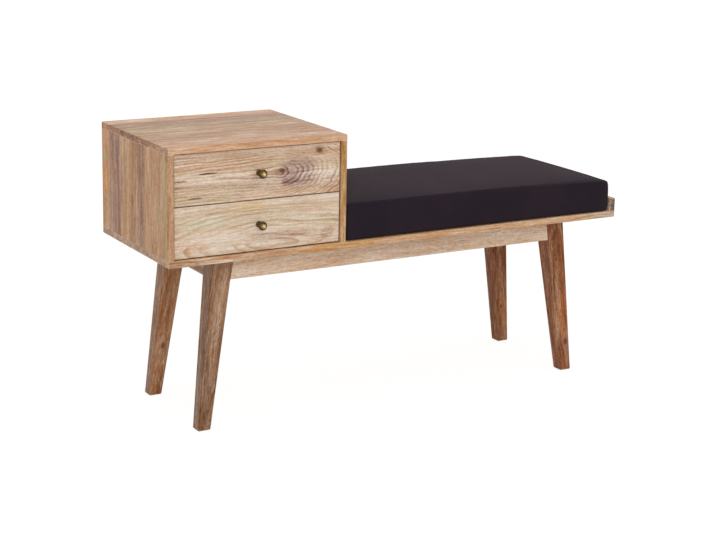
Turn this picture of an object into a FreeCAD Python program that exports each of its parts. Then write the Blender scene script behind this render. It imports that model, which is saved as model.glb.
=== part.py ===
import FreeCAD, Part
import math
import os
import Sketcher

# Telephone bench: a full-length board on four splayed legs, with a two-drawer case on its left
# and a loose cushion between the case and a low lip on its right.
# Millimetres, +Z up, +X along the bench, the drawers facing -Y.
# The origin is under the middle of the whole bench, knobs included, on the floor.

SIZES = {
    # bench and case, outside
    "bench_length": 1100,
    "bench_depth": 350,
    "overall_height": 600,
    "case_width": 400,
    "case_height": 240,
    "board_thickness": 14,
    "panel_thickness": 13,
    "corner_radius": 4.5,
    "arris_radius": 2,
    "opening_chamfer": 2,
    "lip_thickness": 15,
    "lip_height": 29,
    # back panel, let into the case from behind
    "back_thickness": 6,
    "rebate_width": 6,
    "back_clearance": 0.3,
    # legs: square in section, tapering from the board to the floor and leaning outwards
    "leg_inset_x": 115,
    "leg_inset_y": 40,
    "leg_top_size": 46.5,
    "leg_foot_size": 29,
    "leg_splay_x": 37,
    "leg_splay_y": 6,
    "leg_round": 4,
    "foot_chamfer": 1.5,
    # aprons, tenoned into the legs
    "apron_height": 48,
    "apron_thickness": 18,
    "apron_setback": 1,
    "end_apron_setback": 3,
    "tenon_thickness": 8,
    "tenon_shoulder": 8,
    "tenon_reach": 24,
    "tenon_clearance": 0.15,
    # corner blocks behind the legs
    "block_thickness": 22,
    "block_reach": 66,
    "block_clearance": 0.5,
    # tongues of the case's sides and of the lip, in stopped grooves
    "tongue_thickness": 6,
    "tongue_depth": 5,
    "tongue_stop": 14,
    "groove_clearance": 0.15,
    # drawers
    "front_recess": 6,
    "front_thickness": 16,
    "front_arris": 1.5,
    "gap_side": 1.8,
    "gap_below": 2,
    "gap_between": 2,
    "gap_above": 1.5,
    "rear_clearance": 12,
    "drawer_side_thickness": 12,
    "drawer_side_drop": 12,
    "drawer_side_rise": 2,
    "drawer_tongue_thickness": 6,
    "drawer_tongue_depth": 6,
    "drawer_tongue_stop": 16,
    "drawer_back_thickness": 10,
    "drawer_back_inset": 8,
    "dado_depth": 4,
    "drawer_bottom_thickness": 5,
    "drawer_bottom_height": 7,
    "bottom_groove_depth": 4,
    "bottom_clearance": 0.2,
    # hardwood runners, housed in the case's sides, in grooves in the drawer sides
    "runner_height": 11,
    "runner_housing": 3,
    "groove_depth": 5,
    "groove_rise": 42,
    "runner_clearance": 0.5,
    "runner_play": 0.3,
    "groove_stop": 25,
    # knobs
    "knob_projection": 26,
    "knob_head_diameter": 18.5,
    "knob_head_depth": 13,
    "knob_rim_width": 2,
    "knob_dome_depth": 7.5,
    "knob_neck_diameter": 7,
    "knob_rose_diameter": 13,
    "knob_rose_thickness": 1.8,
    "knob_rose_slope": 2.2,
    "knob_rise": 2.5,
    "knob_bore_depth": 10,
    "bolt_clearance": 0.1,
    "bolt_diameter": 4,
    "bolt_head_diameter": 8.5,
    "bolt_head_height": 2.4,
    # cushion
    "cushion_height": 81,
    "cushion_crown": 3.5,
    "cushion_end_drop": 10,
    "cushion_back_drop": 4,
    "cushion_gap": 1,
    "cushion_setback": 0.5,
    "cushion_clearance": 0.3,
    "cushion_corner": 12,
    "cushion_edge": 8,
    "cushion_foot_edge": 5,
    "cushion_draw_in": 2,
    "cushion_bulge": 1.5,
}

doc = FreeCAD.newDocument("telephone_bench")
sheet = doc.addObject("Spreadsheet::Sheet", "dims")
for row, (alias, size) in enumerate(SIZES.items(), start=1):
    sheet.set(f"A{row}", str(size))
    sheet.setAlias(f"A{row}", alias)
doc.recompute()

# Places and sizes that follow from the sheet, as expressions that the objects are bound to.
KNOB_REACH = "(dims.knob_projection - dims.front_recess)"
LEFT = "(-dims.bench_length / 2)"
FRONT = f"(({KNOB_REACH} - dims.bench_depth) / 2)"
BOARD_UNDER = "(dims.overall_height - dims.case_height)"
BOARD_TOP = f"({BOARD_UNDER} + dims.board_thickness)"
SIDE_HEIGHT = "(dims.case_height - dims.board_thickness - dims.panel_thickness)"
CASE_INNER_WIDTH = "(dims.case_width - 2 * dims.panel_thickness)"
FRONT_WIDTH = f"({CASE_INNER_WIDTH} - 2 * dims.gap_side)"
FRONT_HEIGHT = f"(({SIDE_HEIGHT} - dims.gap_below - dims.gap_between - dims.gap_above) / 2)"
FRONT_X = f"({LEFT} + dims.panel_thickness + dims.gap_side)"
FRONT_Y = f"({FRONT} + dims.front_recess)"
BOX_Y = f"({FRONT_Y} + dims.front_thickness)"
BOX_DEPTH = ("(dims.bench_depth - dims.front_recess - dims.front_thickness"
             " - dims.back_thickness - dims.rear_clearance)")
BOX_HEIGHT = f"({FRONT_HEIGHT} - dims.drawer_side_drop - dims.drawer_side_rise)"
GROOVE_HEIGHT = "(dims.runner_height + dims.runner_play + dims.runner_clearance)"
LOWER_FRONT_Z = f"({BOARD_TOP} + dims.gap_below)"
UPPER_FRONT_Z = f"({LOWER_FRONT_Z} + {FRONT_HEIGHT} + dims.gap_between)"

parts = []


def value(expression):
    """The present value of an expression."""
    return float(sheet.evalExpression(expression))


def keep(piece):
    """Registers a finished sub-part, so that it is checked and written out."""
    parts.append(piece)
    return piece


def add_body(name):
    return doc.addObject("PartDesign::Body", name)


def place(piece, x, y, z):
    for axis, expression in zip("xyz", (x, y, z)):
        piece.setExpression(f"Placement.Base.{axis}", expression)


def sketch_on(body, role, name, offset="0"):
    """A sketch on one of the body's origin planes, moved along the plane's normal."""
    sketch = body.newObject("Sketcher::SketchObject", name)
    support = [feature for feature in body.Origin.OriginFeatures if feature.Role == role][0]
    sketch.AttachmentSupport = [(support, "")]
    sketch.MapMode = "FlatFace"
    sketch.setExpression("AttachmentOffset.Base.z", offset)
    return sketch


def bind(sketch, kind, geometry, point, expression, label):
    """Fixes one coordinate of a point, measured from the sketch's origin, to an expression."""
    number = sketch.addConstraint(Sketcher.Constraint(kind, -1, 1, geometry, point, value(expression)))
    sketch.renameConstraint(number, label)
    sketch.setExpression(f"Constraints.{label}", expression)


def outline(sketch, corners):
    """A closed outline of straight lines through corners given as pairs of expressions."""
    start = sketch.GeometryCount
    places = [FreeCAD.Vector(value(x), value(y), 0) for x, y in corners]
    count = len(corners)
    for index in range(count):
        sketch.addGeometry(Part.LineSegment(places[index], places[(index + 1) % count]), False)
    for index in range(count):
        following = start + (index + 1) % count
        sketch.addConstraint(Sketcher.Constraint("Coincident", start + index, 2, following, 1))
    for index, (x, y) in enumerate(corners):
        bind(sketch, "DistanceX", start + index, 1, x, f"x{start + index}")
        bind(sketch, "DistanceY", start + index, 1, y, f"y{start + index}")


def rectangle(sketch, x0, y0, x1, y1):
    outline(sketch, [(x0, y0), (x1, y0), (x1, y1), (x0, y1)])


def circles(sketch, centres, radius):
    for x, y in centres:
        number = sketch.GeometryCount
        middle = FreeCAD.Vector(value(x), value(y), 0)
        sketch.addGeometry(Part.Circle(middle, FreeCAD.Vector(0, 0, 1), value(radius)), False)
        bind(sketch, "DistanceX", number, 3, x, f"x{number}")
        bind(sketch, "DistanceY", number, 3, y, f"y{number}")
        size = sketch.addConstraint(Sketcher.Constraint("Radius", number, value(radius)))
        sketch.renameConstraint(size, f"radius{number}")
        sketch.setExpression(f"Constraints.radius{number}", radius)


def extrude(body, kind, sketch, length, backwards=False):
    """A Pad or a Pocket. A Pad goes along the sketch's normal and a Pocket against it, unless backwards."""
    feature = body.newObject(f"PartDesign::{kind}", f"{sketch.Name}_{kind.lower()}")
    feature.Profile = sketch
    feature.setExpression("Length", length)
    feature.Reversed = backwards
    before = body.Shape.Volume if kind == "Pocket" else 0
    doc.recompute()
    if kind == "Pocket" and not feature.Shape.Volume < before - 1e-3:
        raise RuntimeError(f"{feature.Name} cuts nothing")
    return feature


def round_edges(body, radius, wanted, chamfer=False):
    """Rounds the edges of the body's last feature that the test picks."""
    base = body.Tip
    names = [f"Edge{index}" for index, edge in enumerate(base.Shape.Edges, start=1) if wanted(edge)]
    kind = "Chamfer" if chamfer else "Fillet"
    feature = body.newObject(f"PartDesign::{kind}", f"{body.Name}_round{len(body.Group)}")
    feature.Base = (base, names)
    feature.setExpression("Size" if chamfer else "Radius", radius)
    doc.recompute()
    return feature


def spans(edge, axis):
    """How far an edge runs along an axis."""
    box = edge.BoundBox
    return {"x": box.XLength, "y": box.YLength, "z": box.ZLength}[axis]


def lies_at(edge, **where):
    """Whether all of an edge lies at the given coordinates, in the body's own frame."""
    box = edge.BoundBox
    low = {"x": box.XMin, "y": box.YMin, "z": box.ZMin}
    high = {"x": box.XMax, "y": box.YMax, "z": box.ZMax}
    return all(abs(low[a] - at) < 1e-4 and abs(high[a] - at) < 1e-4 for a, at in where.items())


def panel(name, size_x, size_y, size_z):
    """A flat board with its lower front left corner at the body's origin."""
    body = add_body(name)
    sketch = sketch_on(body, "XY_Plane", f"{name}_outline")
    rectangle(sketch, "0", "0", size_x, size_y)
    extrude(body, "Pad", sketch, size_z)
    return body


def mirrored(source, name, normal, axis, at):
    """The other hand of a sub-part, across a plane square to an axis."""
    copy = doc.addObject("Part::Mirroring", name)
    copy.Source = source
    copy.Normal = FreeCAD.Vector(*normal)
    copy.setExpression(f"Base.{axis}", at)
    return keep(copy)


def rod(name, radius, length, x, y, z, direction):
    """A cylinder that starts at a point and runs in a direction."""
    cylinder = doc.addObject("Part::Cylinder", name)
    cylinder.setExpression("Radius", radius)
    cylinder.setExpression("Height", length)
    aim = FreeCAD.Vector(*direction)
    cylinder.Placement = FreeCAD.Placement(FreeCAD.Vector(), FreeCAD.Rotation(FreeCAD.Vector(0, 0, 1), aim))
    place(cylinder, x, y, z)
    return cylinder


def tongue(body, name, thickness, below, above=None):
    """A stopped tongue along the lower edge of an upright board and, if asked, along its upper edge."""
    start = sketch_on(body, "XY_Plane", name, "-dims.tongue_depth")
    rectangle(start, f"({thickness} - dims.tongue_thickness) / 2", "dims.tongue_stop",
              f"({thickness} + dims.tongue_thickness) / 2", "dims.bench_depth - dims.tongue_stop")
    extrude(body, "Pad", start, f"{below} + {above}" if above else below)


def tongue_grooves(body, name, middles, offset="0", backwards=False):
    """Stopped grooves for tongues, along Y with their middles at the given places in X."""
    grooves = sketch_on(body, "XY_Plane", name, offset)
    half = "(dims.tongue_thickness / 2 + dims.groove_clearance)"
    for middle in middles:
        rectangle(grooves, f"({middle} - {half})", "dims.tongue_stop - dims.groove_clearance",
                  f"({middle} + {half})", "dims.bench_depth - dims.tongue_stop + dims.groove_clearance")
    extrude(body, "Pocket", grooves, "dims.tongue_depth + dims.groove_clearance", backwards)


# Middles of the case's sides and of the lip, from the board's left end.
SIDE_MIDDLES = ["(dims.panel_thickness / 2)", "(dims.case_width - dims.panel_thickness / 2)"]
LIP_MIDDLE = "(dims.bench_length - dims.lip_thickness / 2)"

# Legs: the outer corner of the foot and of the top, from the outer corner of the foot.
LEG_X = f"({LEFT} + dims.leg_inset_x - dims.leg_splay_x)"
LEG_Y = f"({FRONT} + dims.leg_inset_y - dims.leg_splay_y)"
LEG_IN_X = f"({LEFT} + dims.leg_inset_x + dims.leg_top_size)"
LEG_IN_Y = f"({FRONT} + dims.leg_inset_y + dims.leg_top_size)"
SLOPE_X = f"((dims.leg_splay_x + dims.leg_top_size - dims.leg_foot_size) / {BOARD_UNDER})"
SLOPE_Y = f"((dims.leg_splay_y + dims.leg_top_size - dims.leg_foot_size) / {BOARD_UNDER})"
APRON_Y = f"({FRONT} + dims.leg_inset_y + dims.apron_setback)"
APRON_X = f"({LEFT} + dims.leg_inset_x + dims.end_apron_setback)"
APRON_Z = f"({BOARD_UNDER} - dims.apron_height)"
TENON_INSET = "((dims.apron_thickness - dims.tenon_thickness) / 2)"
TENON_HEIGHT = "(dims.apron_height - 2 * dims.tenon_shoulder)"
MIDDLE_Y = f"({FRONT} + dims.bench_depth / 2)"

# Corner blocks: a notched brace across each corner of the frame, under the board.
BLOCK_LEG_X = f"({LEG_IN_X} + dims.block_clearance)"
BLOCK_LEG_Y = f"({LEG_IN_Y} + dims.block_clearance)"

# Runners and the grooves that slide on them.
RUNNER_X = f"({LEFT} + dims.panel_thickness - dims.runner_housing + dims.groove_clearance)"
RUNNER_THICKNESS = ("(dims.runner_housing - dims.groove_clearance + dims.gap_side"
                    " + dims.groove_depth - dims.runner_clearance)")
RUNNER_Y = f"({BOX_Y} + dims.groove_stop + dims.runner_play)"
RUNNER_LENGTH = f"({FRONT} + dims.bench_depth - dims.back_thickness - {RUNNER_Y})"
LEVELS = {"lower": LOWER_FRONT_Z, "upper": UPPER_FRONT_Z}


def runner_z(level):
    """The underside of a level's runners: the drawer hangs on them by its grooves."""
    return f"({LEVELS[level]} + dims.drawer_side_rise + dims.groove_rise + dims.runner_clearance)"


BACK_X = f"({LEFT} + dims.panel_thickness - dims.rebate_width + dims.back_clearance)"
BACK_WIDTH = f"({CASE_INNER_WIDTH} + 2 * dims.rebate_width - 2 * dims.back_clearance)"
BACK_HEIGHT = f"({SIDE_HEIGHT} + dims.rebate_width - dims.back_clearance)"


def make_board():
    """The full-length board: the case's floor on the left and the seat on the right."""
    board = panel("bench_board", "dims.bench_length", "dims.bench_depth", "dims.board_thickness")
    thick = value("dims.board_thickness")
    round_edges(board, "dims.corner_radius", lambda e: spans(e, "z") > thick / 2)
    round_edges(board, "dims.arris_radius", lambda e: lies_at(e, z=0))
    # eased edge under the drawers, stopped at the case's sides
    chamfer = sketch_on(board, "YZ_Plane", "board_chamfer", "dims.panel_thickness")
    outline(chamfer, [("0", "dims.board_thickness"), ("dims.opening_chamfer", "dims.board_thickness"),
                      ("0", "dims.board_thickness - dims.opening_chamfer")])
    extrude(board, "Pocket", chamfer, CASE_INNER_WIDTH, backwards=True)
    tongue_grooves(board, "board_grooves", SIDE_MIDDLES + [LIP_MIDDLE], "dims.board_thickness")
    place(board, LEFT, FRONT, BOARD_UNDER)
    keep(board)


def make_case_top():
    top = panel("case_top", "dims.case_width", "dims.bench_depth", "dims.panel_thickness")
    thick = value("dims.panel_thickness")
    round_edges(top, "dims.corner_radius", lambda e: spans(e, "z") > thick / 2)
    round_edges(top, "dims.arris_radius", lambda e: lies_at(e, z=thick))
    chamfer = sketch_on(top, "YZ_Plane", "top_chamfer", "dims.panel_thickness")
    outline(chamfer, [("0", "0"), ("dims.opening_chamfer", "0"), ("0", "dims.opening_chamfer")])
    extrude(top, "Pocket", chamfer, CASE_INNER_WIDTH, backwards=True)
    rebate = sketch_on(top, "XY_Plane", "top_rebate")
    rectangle(rebate, "dims.panel_thickness - dims.rebate_width",
              "dims.bench_depth - dims.back_thickness",
              "dims.case_width - dims.panel_thickness + dims.rebate_width", "dims.bench_depth")
    extrude(top, "Pocket", rebate, "dims.rebate_width", backwards=True)
    tongue_grooves(top, "top_grooves", SIDE_MIDDLES, backwards=True)
    place(top, LEFT, FRONT, f"({BOARD_TOP} + {SIDE_HEIGHT})")
    keep(top)


def make_case_sides():
    side = panel("case_side_left", "dims.panel_thickness", "dims.bench_depth", SIDE_HEIGHT)
    round_edges(side, "dims.corner_radius", lambda e: spans(e, "z") > 1 and lies_at(e, x=0))
    thick = value("dims.panel_thickness")
    round_edges(side, "dims.arris_radius", lambda e: spans(e, "z") > 1 and lies_at(e, x=thick, y=0))
    rebate = sketch_on(side, "XY_Plane", "side_rebate")
    rectangle(rebate, "dims.panel_thickness - dims.rebate_width",
              "dims.bench_depth - dims.back_thickness", "dims.panel_thickness", "dims.bench_depth")
    extrude(side, "Pocket", rebate, SIDE_HEIGHT, backwards=True)
    tongue(side, "side_tongues", "dims.panel_thickness", SIDE_HEIGHT, "2 * dims.tongue_depth")
    housing = sketch_on(side, "YZ_Plane", "side_runner_housings", "dims.panel_thickness")
    for level in LEVELS:
        low = f"({runner_z(level)} - {BOARD_TOP} - dims.groove_clearance)"
        rectangle(housing, f"({RUNNER_Y} - {FRONT} - dims.groove_clearance)", low,
                  "dims.bench_depth - dims.back_thickness",
                  f"({low} + dims.runner_height + 2 * dims.groove_clearance)")
    extrude(side, "Pocket", housing, "dims.runner_housing")
    place(side, LEFT, FRONT, BOARD_TOP)
    keep(side)
    mirrored(side, "case_side_right", (1, 0, 0), "x", f"{LEFT} + dims.case_width / 2")


def make_case_back():
    back = panel("case_back", BACK_WIDTH, "dims.back_thickness", BACK_HEIGHT)
    place(back, BACK_X, f"({FRONT} + dims.bench_depth - dims.back_thickness)", BOARD_TOP)
    keep(back)


def make_lip():
    """The low upright at the seat's open end, which keeps the cushion in place."""
    lip = panel("end_lip", "dims.lip_thickness", "dims.bench_depth", "dims.lip_height")
    wide = value("dims.lip_thickness")
    high = value("dims.lip_height")
    round_edges(lip, "dims.corner_radius", lambda e: spans(e, "z") > 1 and lies_at(e, x=wide))
    round_edges(lip, "dims.arris_radius",
                lambda e: lies_at(e, z=high) or (spans(e, "z") > 1 and lies_at(e, x=0)))
    tongue(lip, "lip_tongue", "dims.lip_thickness", "dims.tongue_depth")
    place(lip, f"({LEFT} + dims.bench_length - dims.lip_thickness)", FRONT, BOARD_TOP)
    keep(lip)


def make_legs():
    """One leg is sawn to its lean, planed to taper and mortised; the others are its mirror images."""
    leg = add_body("leg_front_left")
    top_x = "(dims.leg_splay_x + dims.leg_top_size)"
    top_y = "(dims.leg_splay_y + dims.leg_top_size)"
    face = sketch_on(leg, "XZ_Plane", "leg_face")
    outline(face, [("0", "0"), ("dims.leg_foot_size", "0"), (top_x, BOARD_UNDER),
                   ("dims.leg_splay_x", BOARD_UNDER)])
    extrude(leg, "Pad", face, top_y, backwards=True)
    waste = sketch_on(leg, "YZ_Plane", "leg_waste")
    outline(waste, [("0", "0"), ("dims.leg_splay_y", BOARD_UNDER), ("0", BOARD_UNDER)])
    outline(waste, [("dims.leg_foot_size", "0"), (top_y, "0"), (top_y, BOARD_UNDER)])
    extrude(leg, "Pocket", waste, top_x, backwards=True)
    high = value(BOARD_UNDER)
    round_edges(leg, "dims.leg_round", lambda e: spans(e, "z") > high / 2)
    round_edges(leg, "dims.foot_chamfer", lambda e: lies_at(e, z=0), chamfer=True)
    room = "dims.tenon_clearance"
    low = f"({APRON_Z} + dims.tenon_shoulder - {room})"
    tall = f"({TENON_HEIGHT} + 2 * {room})"
    end_x = f"({LEG_IN_X} - dims.tenon_reach - {room} - {LEG_X})"
    side_y = f"({APRON_Y} + {TENON_INSET} - {room} - {LEG_Y})"
    long_mortise = sketch_on(leg, "XY_Plane", "leg_long_mortise", low)
    rectangle(long_mortise, end_x, side_y, "dims.leg_splay_x + dims.leg_top_size + 5",
              f"({side_y} + dims.tenon_thickness + 2 * {room})")
    extrude(leg, "Pocket", long_mortise, tall, backwards=True)
    end_y = f"({LEG_IN_Y} - dims.tenon_reach - {room} - {LEG_Y})"
    side_x = f"({APRON_X} + {TENON_INSET} - {room} - {LEG_X})"
    short_mortise = sketch_on(leg, "XY_Plane", "leg_short_mortise", low)
    rectangle(short_mortise, side_x, end_y, f"({side_x} + dims.tenon_thickness + 2 * {room})",
              "dims.leg_splay_y + dims.leg_top_size + 5")
    extrude(leg, "Pocket", short_mortise, tall, backwards=True)
    place(leg, LEG_X, LEG_Y, "0")
    keep(leg)
    mirrored(leg, "leg_front_right", (1, 0, 0), "x", "0")
    back = mirrored(leg, "leg_back_left", (0, 1, 0), "y", MIDDLE_Y)
    mirrored(back, "leg_back_right", (1, 0, 0), "x", "0")


def make_aprons():
    """Rails under the board, their ends cut to the lean of the legs, with a tenon at each end."""
    apron = add_body("apron_front")
    face = sketch_on(apron, "XZ_Plane", "apron_front_face")
    low_x = f"({LEG_IN_X} - {SLOPE_X} * dims.apron_height)"
    outline(face, [(low_x, "0"), (f"-{low_x}", "0"), (f"-{LEG_IN_X}", "dims.apron_height"),
                   (LEG_IN_X, "dims.apron_height")])
    extrude(apron, "Pad", face, "dims.apron_thickness", backwards=True)
    tenon = sketch_on(apron, "XZ_Plane", "apron_front_tenon", f"-{TENON_INSET}")
    end = f"({LEG_IN_X} - dims.tenon_reach)"
    rectangle(tenon, end, "dims.tenon_shoulder", f"-{end}", "dims.apron_height - dims.tenon_shoulder")
    extrude(apron, "Pad", tenon, "dims.tenon_thickness", backwards=True)
    half = value("dims.bench_length") / 4
    round_edges(apron, "dims.front_arris", lambda e: spans(e, "x") > half and lies_at(e, y=0, z=0))
    place(apron, "0", APRON_Y, APRON_Z)
    keep(apron)
    mirrored(apron, "apron_back", (0, 1, 0), "y", MIDDLE_Y)

    apron = add_body("apron_left")
    face = sketch_on(apron, "YZ_Plane", "apron_left_face")
    top_y = f"({LEG_IN_Y} - {MIDDLE_Y})"
    low_y = f"({top_y} - {SLOPE_Y} * dims.apron_height)"
    outline(face, [(low_y, "0"), (f"-{low_y}", "0"), (f"-{top_y}", "dims.apron_height"),
                   (top_y, "dims.apron_height")])
    extrude(apron, "Pad", face, "dims.apron_thickness")
    tenon = sketch_on(apron, "YZ_Plane", "apron_left_tenon", TENON_INSET)
    end = f"({top_y} - dims.tenon_reach)"
    rectangle(tenon, end, "dims.tenon_shoulder", f"-{end}", "dims.apron_height - dims.tenon_shoulder")
    extrude(apron, "Pad", tenon, "dims.tenon_thickness")
    half = value("dims.bench_depth") / 4
    round_edges(apron, "dims.front_arris", lambda e: spans(e, "y") > half and lies_at(e, x=0, z=0))
    place(apron, APRON_X, MIDDLE_Y, APRON_Z)
    keep(apron)
    mirrored(apron, "apron_right", (1, 0, 0), "x", "0")


def make_corner_blocks():
    block = add_body("corner_block_front_left")
    plan = sketch_on(block, "XY_Plane", "block_plan")
    inner_x = f"({APRON_X} + dims.apron_thickness)"
    inner_y = f"({APRON_Y} + dims.apron_thickness)"
    far_x = f"({LEG_IN_X} + dims.block_reach)"
    far_y = f"({LEG_IN_Y} + dims.block_reach)"
    outline(plan, [(BLOCK_LEG_X, inner_y), (far_x, inner_y), (inner_x, far_y), (inner_x, BLOCK_LEG_Y),
                   (BLOCK_LEG_X, BLOCK_LEG_Y)])
    extrude(block, "Pad", plan, "dims.block_thickness")
    place(block, "0", "0", f"({BOARD_UNDER} - dims.block_thickness)")
    keep(block)
    mirrored(block, "corner_block_front_right", (1, 0, 0), "x", "0")
    back = mirrored(block, "corner_block_back_left", (0, 1, 0), "y", MIDDLE_Y)
    mirrored(back, "corner_block_back_right", (1, 0, 0), "x", "0")


def make_runners(level):
    """The pair of battens that a drawer hangs on, glued into the case's sides."""
    runner = panel(f"runner_{level}_left", RUNNER_THICKNESS, RUNNER_LENGTH, "dims.runner_height")
    place(runner, RUNNER_X, RUNNER_Y, runner_z(level))
    keep(runner)
    mirrored(runner, f"runner_{level}_right", (1, 0, 0), "x", f"{LEFT} + dims.case_width / 2")


def make_drawer(level):
    """One drawer: front, grooved sides tongued into it, a back in dados, a loose bottom and a knob."""
    name = f"drawer_{level}"
    front_z = LEVELS[level]
    box_z = f"({front_z} + dims.drawer_side_rise)"
    thick = "dims.drawer_side_thickness"
    gap = "dims.groove_clearance"
    groove_z = "dims.drawer_bottom_height"
    groove_high = "(dims.drawer_bottom_thickness + dims.bottom_clearance)"
    tongue_low = "dims.drawer_tongue_stop"
    tongue_high = f"({BOX_HEIGHT} - dims.drawer_tongue_stop)"
    knob_x = f"({FRONT_WIDTH} / 2)"
    knob_z = f"({FRONT_HEIGHT} / 2 + dims.knob_rise)"

    front = panel(f"{name}_front", FRONT_WIDTH, "dims.front_thickness", FRONT_HEIGHT)
    round_edges(front, "dims.front_arris", lambda e: lies_at(e, y=0))
    slot = sketch_on(front, "XY_Plane", f"{name}_front_groove", f"(dims.drawer_side_rise + {groove_z})")
    rectangle(slot, f"({thick} - dims.bottom_groove_depth)",
              "dims.front_thickness - dims.bottom_groove_depth",
              f"({FRONT_WIDTH} - {thick} + dims.bottom_groove_depth)", "dims.front_thickness")
    extrude(front, "Pocket", slot, groove_high, backwards=True)
    joints = sketch_on(front, "XZ_Plane", f"{name}_front_joints", "-dims.front_thickness")
    half = f"(dims.drawer_tongue_thickness / 2 + {gap})"
    for middle in (f"({thick} / 2)", f"({FRONT_WIDTH} - {thick} / 2)"):
        rectangle(joints, f"({middle} - {half})", f"(dims.drawer_side_rise + {tongue_low} - {gap})",
                  f"({middle} + {half})", f"(dims.drawer_side_rise + {tongue_high} + {gap})")
    extrude(front, "Pocket", joints, f"dims.drawer_tongue_depth + {gap}", backwards=True)
    bore = sketch_on(front, "XZ_Plane", f"{name}_front_bolt_hole")
    circles(bore, [(knob_x, knob_z)], "dims.bolt_diameter / 2 + dims.bolt_clearance")
    extrude(front, "Pocket", bore, "dims.front_thickness")
    place(front, FRONT_X, FRONT_Y, front_z)
    keep(front)

    side = panel(f"{name}_side_left", thick, BOX_DEPTH, BOX_HEIGHT)
    end = sketch_on(side, "XZ_Plane", f"{name}_side_tongue")
    rectangle(end, f"({thick} - dims.drawer_tongue_thickness) / 2", tongue_low,
              f"({thick} + dims.drawer_tongue_thickness) / 2", tongue_high)
    extrude(side, "Pad", end, "dims.drawer_tongue_depth")
    groove = sketch_on(side, "YZ_Plane", f"{name}_runner_groove")
    rectangle(groove, "dims.groove_stop", "dims.groove_rise", BOX_DEPTH,
              f"(dims.groove_rise + {GROOVE_HEIGHT})")
    extrude(side, "Pocket", groove, "dims.groove_depth", backwards=True)
    bed = sketch_on(side, "YZ_Plane", f"{name}_bottom_groove", thick)
    rectangle(bed, "0", groove_z, BOX_DEPTH, f"({groove_z} + {groove_high})")
    extrude(side, "Pocket", bed, "dims.bottom_groove_depth")
    back_y = f"({BOX_DEPTH} - dims.drawer_back_inset - dims.drawer_back_thickness)"
    back_low = f"({groove_z} + {groove_high})"
    dado = sketch_on(side, "YZ_Plane", f"{name}_back_dado", thick)
    rectangle(dado, f"({back_y} - {gap})", back_low, f"({back_y} + dims.drawer_back_thickness + {gap})",
              BOX_HEIGHT)
    extrude(side, "Pocket", dado, "dims.dado_depth")
    place(side, FRONT_X, BOX_Y, box_z)
    keep(side)
    mirrored(side, f"{name}_side_right", (1, 0, 0), "x", f"{FRONT_X} + {FRONT_WIDTH} / 2")

    inside = f"({FRONT_WIDTH} - 2 * {thick})"
    let_in = f"(dims.dado_depth - {gap})"
    back = panel(f"{name}_back", f"({inside} + 2 * {let_in})", "dims.drawer_back_thickness",
                 f"({BOX_HEIGHT} - {back_low})")
    place(back, f"({FRONT_X} + {thick} - {let_in})", f"({BOX_Y} + {back_y})", f"({box_z} + {back_low})")
    keep(back)

    reach = "(dims.bottom_groove_depth - dims.bottom_clearance)"
    bottom = panel(f"{name}_bottom", f"({inside} + 2 * {reach})", f"({BOX_DEPTH} + {reach})",
                   "dims.drawer_bottom_thickness")
    place(bottom, f"({FRONT_X} + {thick} - {reach})", f"({BOX_Y} - {reach})",
          f"({box_z} + {groove_z} + dims.bottom_clearance / 2)")
    keep(bottom)
    make_knob(name, f"({FRONT_X} + {knob_x})", f"({front_z} + {knob_z})")


def make_knob(drawer, x, z):
    """A turned mushroom knob on a thin rose, held by a bolt from inside the drawer front."""
    knob = add_body(f"{drawer}_knob")
    profile = sketch_on(knob, "XY_Plane", f"{drawer}_knob_profile")
    bore = "(dims.bolt_diameter / 2 + dims.bolt_clearance)"
    head = "dims.knob_head_diameter / 2"
    rim = "(dims.knob_projection - dims.knob_dome_depth)"
    corners = [("0", "-dims.knob_bore_depth"), (bore, "-dims.knob_bore_depth"), (bore, "0"),
               ("dims.knob_rose_diameter / 2", "0"),
               ("dims.knob_rose_diameter / 2", "-dims.knob_rose_thickness"),
               ("dims.knob_neck_diameter / 2", "-dims.knob_rose_thickness - dims.knob_rose_slope"),
               ("dims.knob_neck_diameter / 2", "-dims.knob_projection + dims.knob_head_depth"),
               (head, f"-{rim} + dims.knob_rim_width"), (head, f"-{rim}")]
    # the dome is turned in three bevels that follow a quarter of an ellipse
    for angle in (30, 60):
        corners.append((f"{head} * cos({angle})", f"-{rim} - dims.knob_dome_depth * sin({angle})"))
    corners.append(("0", "-dims.knob_projection"))
    outline(profile, corners)
    turned = knob.newObject("PartDesign::Revolution", f"{drawer}_knob_turned")
    turned.Profile = profile
    turned.ReferenceAxis = (profile, ["V_Axis"])
    turned.Angle = 360
    doc.recompute()
    place(knob, x, FRONT_Y, z)
    keep(knob)

    bolt_head = rod(f"{drawer}_bolt_head", "dims.bolt_head_diameter / 2", "dims.bolt_head_height",
                    x, BOX_Y, z, (0, 1, 0))
    shank_length = "(dims.front_thickness + dims.knob_bore_depth - dims.bolt_clearance)"
    shank = rod(f"{drawer}_bolt_shank", "dims.bolt_diameter / 2", shank_length,
                x, BOX_Y, z, (0, -1, 0))
    bolt = doc.addObject("Part::Fuse", f"{drawer}_knob_bolt")
    bolt.Base = bolt_head
    bolt.Tool = shank
    keep(bolt)


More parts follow.
